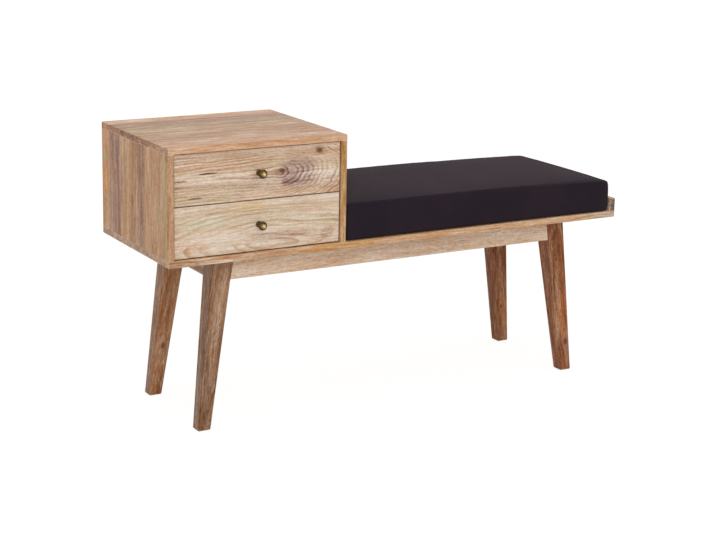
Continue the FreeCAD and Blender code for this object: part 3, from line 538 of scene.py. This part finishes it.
    dress("drawer_upper_front", wood(
        "drawer_upper_front_wood", axes="xzy", seed=40.0, base=rgb(206, 176, 148),
        ring_at=(-0.300, 0.531, -0.157), ring_pull=(0.06, 0.50), ring_gap=0.0056, ring=0.80, ring_point=1.6,
        ring_stray=2.8, streak=0.38, streak_scale=(6.0, 320.0, 320.0), band=0.36, fleck=0.26,
        # the dark reddish edge colour is painted shade from the gaps round the drawer front
        edge=rgb(150, 100, 70), edge_share=0.55,
        hues=((0.22, rgb(170, 136, 120)), (0.25, rgb(192, 176, 138)), (0.20, rgb(214, 164, 130))),
        patches=(
            ((-0.262, 0.530), (0.075, 0.052), rgb(152, 120, 108), 0.70),
            ((-0.278, 0.516), (0.034, 0.024), rgb(138, 102, 92), 0.65),
            ((-0.2915, 0.513), (0.010, 0.015), rgb(142, 98, 86), 0.65),
            ((-0.462, 0.5435), (0.034, 0.0032), rgb(92, 62, 50), 1.0),
            ((-0.525, 0.532), (0.026, 0.0030), rgb(112, 80, 64), 0.90),
            ((-0.490, 0.495), (0.028, 0.0044), rgb(132, 96, 80), 0.80),
            ((-0.370, 0.488), (0.050, 0.012), rgb(222, 166, 136), 0.45),
            ((-0.400, 0.505), (0.060, 0.010), rgb(188, 174, 138), 0.45),
            ((-0.240, 0.572), (0.090, 0.008), rgb(192, 154, 118), 0.50),
        ),
        knots=(((-0.297, 0.536), 0.0070), ((-0.213, 0.5715), 0.0085))))
    dress("drawer_lower_front", wood(
        "drawer_lower_front_wood", axes="xzy", seed=50.0, base=rgb(216, 190, 164),
        ring_at=(-0.350, 0.392, -0.157), ring_pull=(0.26, 0.13), ring_gap=0.0082, ring=0.72, ring_point=1.8,
        ring_stray=2.6, streak=0.34, streak_scale=(6.0, 300.0, 300.0), band=0.36, fleck=0.24,
        # the dark reddish edge colour is painted shade from the gaps round the drawer front
        edge=rgb(158, 108, 76), edge_share=0.55,
        hues=((0.12, rgb(190, 158, 140)), (0.30, rgb(206, 194, 164)), (0.20, rgb(218, 174, 134))),
        patches=(
            ((-0.365, 0.470), (0.070, 0.020), rgb(222, 186, 132), 0.45),
            ((-0.500, 0.402), (0.055, 0.024), rgb(212, 164, 130), 0.55),
            ((-0.470, 0.445), (0.090, 0.016), rgb(216, 206, 182), 0.55),
            ((-0.300, 0.405), (0.130, 0.014), rgb(188, 154, 132), 0.55),
            ((-0.192, 0.403), (0.030, 0.018), rgb(172, 132, 106), 0.60),
        )))
    for level, start in (("lower", 60.0), ("upper", 70.0)):
        for index, (part, axes) in enumerate((
            ("side_left", "yzx"), ("side_right", "yzx"), ("back", "xzy"), ("bottom", "xyz"),
        )):
            dress(f"drawer_{level}_{part}", wood(
                f"drawer_{level}_{part}_wood", axes=axes, seed=start + index, base=rgb(206, 176, 140),
                # edge_share: how much painted highlight the rounded edges take
                rough=0.6, ring_at=(0.0, 0.42, 0.10), edge_share=0.25))
        for side in ("left", "right"):
            dress(f"runner_{level}_{side}", wood(
                f"runner_{level}_{side}_wood", axes="yzx", seed=start + 6.0 + len(side),
                base=rgb(198, 166, 128), rough=0.6))


def metal(name, base, dark, rough, edge_tone):
    """Metal with a darker film in patches and a lighter colour along its edges."""
    t = Tree(name)
    source = t.node("TexCoord").outputs
    place = source["Object"]
    film = t.step(t.noise(place, (240.0, 240.0, 240.0), 3.0, 0.6)["Fac"], 0.40, 0.66)
    fine = t.noise(place, (1500.0, 1500.0, 1500.0), 2.0)["Fac"]
    colour = t.blend(t.math("MULTIPLY", film, 0.45), base, dark)
    bevel = t.node("Bevel", {"Radius": 0.0012}, samples=4).outputs[0]
    flat = t.node("NewGeometry").outputs["Normal"]
    turned = t.math("SUBTRACT", 1.0, t.vector("DOT_PRODUCT", bevel, flat))
    colour = t.blend(t.math("MULTIPLY", t.step(turned, 0.01, 0.2), 0.4), colour, edge_tone)
    roughness = t.math("ADD", rough, t.math("MULTIPLY", t.math("SUBTRACT", fine, 0.5), 0.25))
    roughness = t.math("ADD", roughness, t.math("MULTIPLY", film, 0.12), clamp=True)
    bump = t.node("Bump", {"Strength": 0.15, "Distance": 0.0002, "Height": fine}).outputs[0]
    surface = t.node("BsdfPrincipled", {
        "Base Color": colour, "Metallic": 1.0, "Roughness": roughness, "Normal": bump,
    })
    return t.finish(surface.outputs[0])


def brass():
    """Antique brass for the knobs: dark over the rose and the waist, darker round the rim with patina in the
    groove and a painted dark reflection, and a painted highlight on the dome.
    """
    t = Tree("knob_brass_metal")
    source = t.node("TexCoord").outputs
    x, y, z = t.split(source["Object"])
    out = t.math("SQRT", t.math("ADD", t.math("MULTIPLY", x, x), t.math("MULTIPLY", z, z)))
    film = t.step(t.noise(source["Object"], (260.0, 260.0, 260.0), 3.0, 0.6)["Fac"], 0.38, 0.68)
    fine = t.noise(source["Object"], (1500.0, 1500.0, 1500.0), 2.0)["Fac"]
    base = rgb(146, 118, 70)
    dark = rgb(46, 34, 24)
    low = t.step(y, -0.0195, -0.0150)
    # rim: patina in the groove inside the rim, and a painted dark reflection on the rim
    rim = t.step(out, 0.0056, 0.0072)
    # dome: the place of a painted highlight
    dome = spot(t, x, z, (0.0, 0.0004), (0.0046, 0.0046), 0.1)
    painted_dome_highlight = t.math("MULTIPLY", dome, t.step(y, -0.0200, -0.0215))
    colour = t.blend(t.math("MULTIPLY", film, 0.50), base, dark)
    colour = t.blend(t.math("MULTIPLY", low, 0.72), colour, dark)
    colour = t.blend(t.math("MULTIPLY", rim, 0.62), colour, dark)
    colour = t.blend(t.math("MULTIPLY", painted_dome_highlight, 0.80), colour, rgb(236, 220, 168))
    roughness = t.math("ADD", 0.18, t.math("MULTIPLY", fine, 0.14))
    roughness = t.math("ADD", roughness, t.math("MULTIPLY", film, 0.14))
    bump = t.node("Bump", {"Strength": 0.2, "Distance": 0.0002, "Height": fine}).outputs[0]
    surface = t.node("BsdfPrincipled", {
        "Base Color": colour, "Metallic": 1.0, "Roughness": roughness, "Normal": bump,
    })
    return t.finish(surface.outputs[0])


THREAD_PITCH = 0.0016


def fabric():
    """Plain close weave in near black with a warm dusty bloom seen along the cloth."""
    t = Tree("cushion_fabric_weave")
    source = t.node("TexCoord").outputs
    x, y, z = t.split(source["Object"])
    thread = 2.0 * math.pi / THREAD_PITCH
    waves = [t.math("SINE", t.math("MULTIPLY", part, thread)) for part in (x, y, z)]
    facing = [t.math("ABSOLUTE", part) for part in t.split(source["Normal"])]
    top = t.math("MULTIPLY", waves[0], waves[1])
    front = t.math("MULTIPLY", waves[0], waves[2])
    side = t.math("MULTIPLY", waves[1], waves[2])
    weave = t.math("ADD", t.math("MULTIPLY", top, facing[2]),
                   t.math("ADD", t.math("MULTIPLY", front, facing[1]), t.math("MULTIPLY", side, facing[0])))
    slub = t.noise(source["Object"], (900.0, 900.0, 900.0), 2.0)["Fac"]
    cloud = t.noise(source["Object"], (9.0, 9.0, 9.0), 3.0)["Fac"]
    colour = t.blend(t.step(cloud, 0.35, 0.65), rgb(41, 33, 42), rgb(46, 37, 44))
    colour = t.blend(t.step(weave, -1.0, 1.0, 0.0, 0.30), colour, rgb(26, 20, 27))
    colour = t.blend(t.step(slub, 0.55, 0.75, 0.0, 0.25), colour, rgb(60, 50, 56))
    height = t.math("ADD", t.math("MULTIPLY", weave, 0.5), slub)
    bump = t.node("Bump", {"Strength": 0.35, "Distance": 0.0004, "Height": height}).outputs[0]
    surface = t.node("BsdfPrincipled", {
        "Base Color": colour, "Roughness": 0.9, "Normal": bump, "Specular IOR Level": 0.05,
        "Sheen Weight": 0.06, "Sheen Roughness": 0.45, "Sheen Tint": rgb(255, 226, 224),
    })
    return t.finish(surface.outputs[0])


def new_piece(name, mesh, body, material, place=(0.0, 0.0, 0.0)):
    """Adds a visible piece that moves with a body and has one named material."""
    piece = bpy.data.objects.new(name, mesh)
    piece.location = place
    scene.collection.objects.link(piece)
    mesh.materials.clear()
    mesh.materials.append(material)
    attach(piece, body)
    return piece


def finished_mesh(made, name, smooth=True):
    """Turns a bmesh into a mesh whose faces all point outwards."""
    bmesh.ops.recalc_face_normals(made, faces=made.faces)
    mesh = bpy.data.meshes.new(name)
    made.to_mesh(mesh)
    made.free()
    for face in mesh.polygons:
        face.use_smooth = smooth
    return mesh


def skin(made, rings):
    """Adds the faces from each ring of points to the next. A ring of one point is a pole."""
    for first, second in zip(rings, rings[1:]):
        turns = max(len(first), len(second))
        for step in range(turns):
            follow = (step + 1) % turns
            if len(first) == 1:
                made.faces.new((first[0], second[step], second[follow]))
            elif len(second) == 1:
                made.faces.new((first[step], first[follow], second[0]))
            else:
                made.faces.new((first[step], first[follow], second[follow], second[step]))


def lathe(name, profile, turns=64):
    """A closed turned form about the y axis, from (radius, y) points that start and end on the axis."""
    made = bmesh.new()
    rings = []
    for radius, y in profile:
        if radius < 1e-6:
            rings.append([made.verts.new((0.0, y, 0.0))])
            continue
        ring = []
        for step in range(turns):
            angle = 2.0 * math.pi * step / turns
            ring.append(made.verts.new((radius * math.cos(angle), y, radius * math.sin(angle))))
        rings.append(ring)
    skin(made, rings)
    return finished_mesh(made, name)


def curve_points(points, steps=5):
    """A smooth line through the points, for turned profiles."""
    line = []
    last = len(points) - 1
    for index in range(last):
        before = points[max(index - 1, 0)]
        start = points[index]
        end = points[index + 1]
        after = points[min(index + 2, last)]
        for step in range(steps):
            s = step / steps
            line.append(tuple(
                0.5 * (2 * start[k] + (end[k] - before[k]) * s
                       + (2 * before[k] - 5 * start[k] + 4 * end[k] - after[k]) * s * s
                       + (3 * start[k] - before[k] - 3 * end[k] + after[k]) * s ** 3)
                for k in (0, 1)))
    line.append(points[-1])
    return [(max(radius, 0.0), y) for radius, y in line]


# (radius, y), from the rose on the drawer front, through the waist and the rim, to the middle of the dome.
KNOB_PROFILE = (
    (0.0, 0.0004), (0.0062, 0.0004), (0.0065, -0.0003), (0.0064, -0.0011), (0.0059, -0.0018),
    (0.0048, -0.0024), (0.0040, -0.0040), (0.0035, -0.0066), (0.0037, -0.0096), (0.0048, -0.0124),
    (0.0070, -0.0146), (0.0088, -0.0160), (0.00925, -0.0176), (0.0091, -0.0190), (0.0084, -0.0200),
    (0.0078, -0.0199), (0.0073, -0.0197), (0.0067, -0.0206), (0.0055, -0.0230), (0.0036, -0.0250),
    (0.0016, -0.0259), (0.0, -0.0260),
)


def make_knobs():
    """Turned knobs, in the place of the plainer solids."""
    metal_brass = brass()
    for level in ("lower", "upper"):
        low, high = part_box(f"drawer_{level}_knob")
        centre_x = (low[0] + high[0]) / 2.0
        centre_z = (low[2] + high[2]) / 2.0
        mesh = lathe(f"knob_{level}", curve_points(KNOB_PROFILE, 4))
        place = (centre_x, high[1], centre_z)
        piece = new_piece(f"knob_{level}", mesh, f"drawer_{level}", metal_brass, place)
        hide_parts(f"drawer_{level}_knob")


# How much smaller than its solid the cushion starts, in x, y and z.
CUSHION_INSET = (0.0, 0.0010, 0.0015)
CUSHION_VOXEL = 0.005
# How far the sewn edges stand out again, after the remesh has rounded them.
CUSHION_CRISP = 0.0016
CUSHION_CRISP_BELOW = 0.0024
# A point is on a face when its normal is this near an axis. Over the fade below that, it comes to be held.
FACE_NORMAL = 0.985
FACE_FADE = 0.20
# The cloth run, and how far it may move a point.
CLOTH_PRESSURE = 4.0
CLOTH_STIFFNESS = 30.0
CLOTH_FRAMES = 20
CUSHION_CAP = 0.005
# The radius of the seams' corners, and the steps in each corner and side.
SEAM_CORNER = 0.014
SEAM_CORNER_STEPS = 6
SEAM_SIDE_STEPS = 28
# Each point of a seam is where a ray from outside meets the cover. The ray starts SEAM_RAY away from a point
# inside, which is off the seam's height by SEAM_DROP times the tilt, and SEAM_BACK behind the centre line.
SEAM_RAY = 0.06
SEAM_DROP = 0.012
SEAM_BACK = 0.004
SEAM_SINK = 0.0003


def make_cushion():
    """The seat cushion: a boxed cover sewn along its edges, whose faces swell in a short cloth run."""
    low, high = (Vector(corner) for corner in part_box("seat_cushion"))
    mesh = nodes["seat_cushion"].data.copy()
    mesh.name = "cushion"
    made = bmesh.new()
    made.from_mesh(mesh)
    bmesh.ops.remove_doubles(made, verts=made.verts, dist=1e-5)
    middle = (low + high) / 2.0
    half = (high - low) / 2.0
    for vertex in made.verts:
        for axis in range(3):
            part = (vertex.co[axis] - middle[axis]) / half[axis]
            vertex.co[axis] -= part * CUSHION_INSET[axis]
    made.to_mesh(mesh)
    made.free()
    fabric_black = fabric()
    piece = new_piece("cushion", mesh, "cushion", fabric_black)
    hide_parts("seat_cushion")
    bpy.context.view_layer.objects.active = piece
    for other in bpy.context.selected_objects:
        other.select_set(False)
    piece.select_set(True)
    remesh = piece.modifiers.new("remesh", "REMESH")
    remesh.mode = "VOXEL"
    remesh.voxel_size = CUSHION_VOXEL
    remesh.use_smooth_shade = True
    bpy.ops.object.modifier_apply(modifier=remesh.name)
    outward = [vertex.normal.copy() for vertex in piece.data.vertices]
    hold = edge_hold(outward)
    start = []
    for vertex, way, share in zip(piece.data.vertices, outward, hold):
        start.append(vertex.co + way * (share * (CUSHION_CRISP_BELOW if way.z < -0.2 else CUSHION_CRISP)))
    for vertex, place in zip(piece.data.vertices, start):
        vertex.co = place
    swell(piece, start, hold)
    keep_clear(piece, low, high)
    smooth = piece.modifiers.new("smooth", "SUBSURF")
    smooth.levels = 1
    smooth.render_levels = 1
    for face in piece.data.polygons:
        face.use_smooth = True
    make_seams(piece, low, high, fabric_black)


def edge_hold(outward):
    """How strongly each point is held by the sewn edges: 1 on an edge of the box, 0 on its faces."""
    hold = []
    for way in outward:
        flat = max(abs(part) for part in way)
        hold.append(min(max((FACE_NORMAL - flat) / FACE_FADE, 0.0), 1.0))
    return hold


def swell(piece, start, hold):
    """Swells the faces under pressure in a short cloth run that holds the sewn edges."""
    group = piece.vertex_groups.new(name="sewn_edges")
    for index, share in enumerate(hold):
        if share > 0.0:
            group.add([index], share, "REPLACE")
    cloth = piece.modifiers.new("swell", "CLOTH")
    cloth.settings.quality = 6
    cloth.settings.use_pressure = True
    cloth.settings.uniform_pressure_force = CLOTH_PRESSURE
    cloth.settings.effector_weights.gravity = 0.0
    cloth.settings.tension_stiffness = CLOTH_STIFFNESS
    cloth.settings.compression_stiffness = CLOTH_STIFFNESS
    cloth.settings.vertex_group_mass = group.name
    for number in range(1, CLOTH_FRAMES + 1):
        scene.frame_set(number)
    shape = piece.evaluated_get(bpy.context.evaluated_depsgraph_get())
    moved = [vertex.co.copy() for vertex in shape.data.vertices]
    piece.modifiers.remove(cloth)
    piece.vertex_groups.remove(group)
    scene.frame_set(1)
    for vertex, origin, target in zip(piece.data.vertices, start, moved):
        step = target - origin
        if step.length > CUSHION_CAP:
            step = step * (CUSHION_CAP / step.length)
        vertex.co = origin + step


def keep_clear(piece, low, high):
    """Keeps the cushion off its neighbours and flat where it rests."""
    for vertex in piece.data.vertices:
        vertex.co.z = max(vertex.co.z, low.z)
        vertex.co.x = min(max(vertex.co.x, low.x), high.x)


def make_seams(piece, low, high, material):
    """The two sewn edges of the cover, as fine rolled seams that follow the finished form."""
    bpy.context.view_layer.update()
    tree = BVHTree.FromObject(piece, bpy.context.evaluated_depsgraph_get())
    left, right = low.x + SEAM_CORNER, high.x - SEAM_CORNER
    front, back = low.y + SEAM_CORNER, high.y - SEAM_CORNER
    inner = [(right, back), (left, back), (left, front), (right, front)]
    path = []
    for index, centre in enumerate(inner):
        for step in range(SEAM_CORNER_STEPS + 1):
            angle = math.radians(90.0 * index + 90.0 / SEAM_CORNER_STEPS * step)
            path.append((centre, Vector((math.cos(angle), math.sin(angle), 0.0))))
        following = inner[(index + 1) % 4]
        way = Vector((following[0] - centre[0], following[1] - centre[1]))
        outward = path[-1][1]
        for step in range(1, SEAM_SIDE_STEPS):
            share = step / SEAM_SIDE_STEPS
            path.append(((centre[0] + way.x * share, centre[1] + way.y * share), outward))
    # the seam's name, the height that its rays look for, and how far they tilt from level
    for name, level, tilt in (("top", high.z, 0.8), ("bottom", low.z + 0.003, -0.35)):
        points = []
        for centre, outward in path:
            aim = (outward + Vector((0.0, 0.0, tilt))).normalized()
            inside = Vector((centre[0], centre[1], level - SEAM_DROP * tilt)) - aim * SEAM_BACK
            hit = tree.ray_cast(inside + aim * SEAM_RAY, -aim)
            if hit[0] is not None:
                points.append(hit[0] - aim * SEAM_SINK)
        new_piece(
            f"cushion_seam_{name}", rolled_seam(name, points), "cushion", material)


def rolled_seam(name, points, radius=0.0008, turns=8):
    """A closed thin roll through the points, pinched a little at each stitch."""
    made = bmesh.new()
    rings = []
    last = len(points)
    for index in range(last):
        way = (points[(index + 1) % last] - points[index - 1]).normalized()
        side = way.cross(Vector((0.0, 0.0, 1.0))).normalized()
        rise = side.cross(way)
        size = radius * (1.0 if index % 2 else 0.8)
        rings.append([
            made.verts.new(points[index] + (side * math.cos(2.0 * math.pi * k / turns)
                                            + rise * math.sin(2.0 * math.pi * k / turns)) * size)
            for k in range(turns)])
    skin(made, rings + rings[:1])
    return finished_mesh(made, f"cushion_seam_{name}")


# How far in from the back panel's edges its screws are, and how the screws' crosses are turned, in degrees.
BACK_SCREW_X = 0.007
BACK_SCREW_Z = 0.009
BACK_SCREW_TURN = 37.0
BLOCK_SCREW_TURN = 160.0


def screw_mesh(name, radius=0.0035, turns=32):
    """A countersunk screw head with a cross recess. It faces +z and stands 0.3 mm out of the wood."""
    made = bmesh.new()
    rings = []
    for share, rise, lobes in (
        (1.0, -0.0012, 0.0), (1.0, 0.0001, 0.0), (0.93, 0.0003, 0.0),
        (0.55, 0.0003, 0.0), (0.34, 0.0003, 0.45), (0.24, -0.0009, 0.45),
    ):
        ring = []
        for step in range(turns):
            angle = 2.0 * math.pi * step / turns
            reach = radius * share * (1.0 + lobes * math.cos(4.0 * angle))
            ring.append(made.verts.new((reach * math.cos(angle), reach * math.sin(angle), rise)))
        rings.append(ring)
    skin(made, rings)
    made.faces.new(rings[-1])
    made.faces.new(list(reversed(rings[0])))
    return finished_mesh(made, name, smooth=False)


def make_screws(steel):
    """Screw heads in the case's back panel and under the corner blocks."""
    low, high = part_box("case_back")
    middle_x = (low[0] + high[0]) / 2.0
    middle_z = (low[2] + high[2]) / 2.0
    number = 0
    for height in (low[2] + BACK_SCREW_Z, middle_z, high[2] - BACK_SCREW_Z):
        for across in (low[0] + BACK_SCREW_X, middle_x, high[0] - BACK_SCREW_X):
            if across == middle_x and height == middle_z:
                continue
            number += 1
            name = f"back_screw_{number}"
            screw = new_piece(
                name, screw_mesh(name), "frame", steel, (across, high[1], height))
            screw.rotation_euler = (math.radians(-90.0), math.radians(BACK_SCREW_TURN * number), 0.0)
    for end in ("front", "back"):
        for side in ("left", "right"):
            low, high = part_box(f"corner_block_{end}_{side}")
            name = f"block_screw_{end}_{side}"
            place = ((low[0] + high[0]) / 2.0, (low[1] + high[1]) / 2.0, low[2])
            screw = new_piece(name, screw_mesh(name), "frame", steel, place)
            screw.rotation_euler = (math.radians(180.0), 0.0, math.radians(BLOCK_SCREW_TURN))


# What the camera and reflections see of the floor is mostly white, and the rest keeps the shadow.
FLOOR_WHITE_SHARE = 0.78
FLOOR_WHITE = 1.14
FLOOR_REACH = 14.0
WORLD_LIGHT = 0.62
WHITE = (1.0, 1.0, 1.0, 1.0)
LAMPS = (
    # name, place, the point it faces, size, power
    ("front_lamp", (-1.6, -3.6, 2.2), (0.0, 0.0, 0.35), 2.6, 46.0),
    ("top_lamp", (0.6, -0.4, 3.2), (0.0, 0.0, 0.4), 2.4, 12.0),
    ("back_lamp", (1.2, 3.8, 2.0), (0.0, 0.0, 0.4), 2.4, 16.0),
    ("left_lamp", (-3.4, -0.4, 1.6), (0.0, 0.0, 0.4), 2.2, 14.0),
)


def seen_share(tree):
    """1 for what the camera sees, itself or in a reflection or through clear material, and 0 for light."""
    path = tree.node("LightPath").outputs
    indirect = tree.math("MAXIMUM", path["Is Glossy Ray"], path["Is Transmission Ray"])
    return tree.math("MAXIMUM", path["Is Camera Ray"], indirect)


def make_floor():
    """Pale paper that catches the shadow and looks nearly white."""
    t = Tree("floor_paper")
    grain = t.noise(t.node("TexCoord").outputs["Object"], (40.0, 40.0, 40.0), 2.0)["Fac"]
    colour = t.blend(t.step(grain, 0.3, 0.7), rgb(232, 231, 229), rgb(236, 235, 233))
    pale = t.node("BsdfDiffuse", {"Color": colour}).outputs[0]
    white = t.node("Emission", {"Color": WHITE, "Strength": FLOOR_WHITE}).outputs[0]
    share = t.math("MULTIPLY", seen_share(t), FLOOR_WHITE_SHARE)
    material = t.finish(t.node("MixShader", {0: share, 1: pale, 2: white}).outputs[0])
    mesh = bpy.data.meshes.new("floor")
    made = bmesh.new()
    bmesh.ops.create_grid(made, x_segments=24, y_segments=24, size=FLOOR_REACH)
    made.to_mesh(mesh)
    made.free()
    mesh.materials.append(material)
    floor = bpy.data.objects.new("floor", mesh)
    scene.collection.objects.link(floor)


def make_world():
    """White for the camera, and soft light from all round for the rest."""
    t = Tree("studio", "worlds")
    light = t.node("Background", {"Color": WHITE, "Strength": WORLD_LIGHT}).outputs[0]
    white = t.node("Background", {"Color": WHITE, "Strength": 1.0}).outputs[0]
    both = t.node("MixShader", {0: seen_share(t), 1: light, 2: white}).outputs[0]
    scene.world = t.finish(both, "OutputWorld")


def make_lamp(name, place, target, size, power):
    """A square lamp that faces its target."""
    data = bpy.data.lights.new(name, "AREA")
    data.shape = "SQUARE"
    data.size = size
    data.energy = power
    lamp = bpy.data.objects.new(name, data)
    lamp.location = place
    lamp.rotation_euler = (Vector(target) - Vector(place)).to_track_quat("-Z", "Y").to_euler()
    scene.collection.objects.link(lamp)


make_camera()
dress_woods()
steel = metal("bolt_steel_metal", rgb(178, 180, 184), rgb(120, 120, 122), 0.34, rgb(214, 216, 220))
for level in ("lower", "upper"):
    dress(f"drawer_{level}_knob_bolt", steel)
make_knobs()
make_screws(steel)
make_cushion()
make_floor()
make_world()
for name, place, target, size, power in LAMPS:
    make_lamp(name, place, target, size, power)

scene.view_settings.view_transform = "Standard"
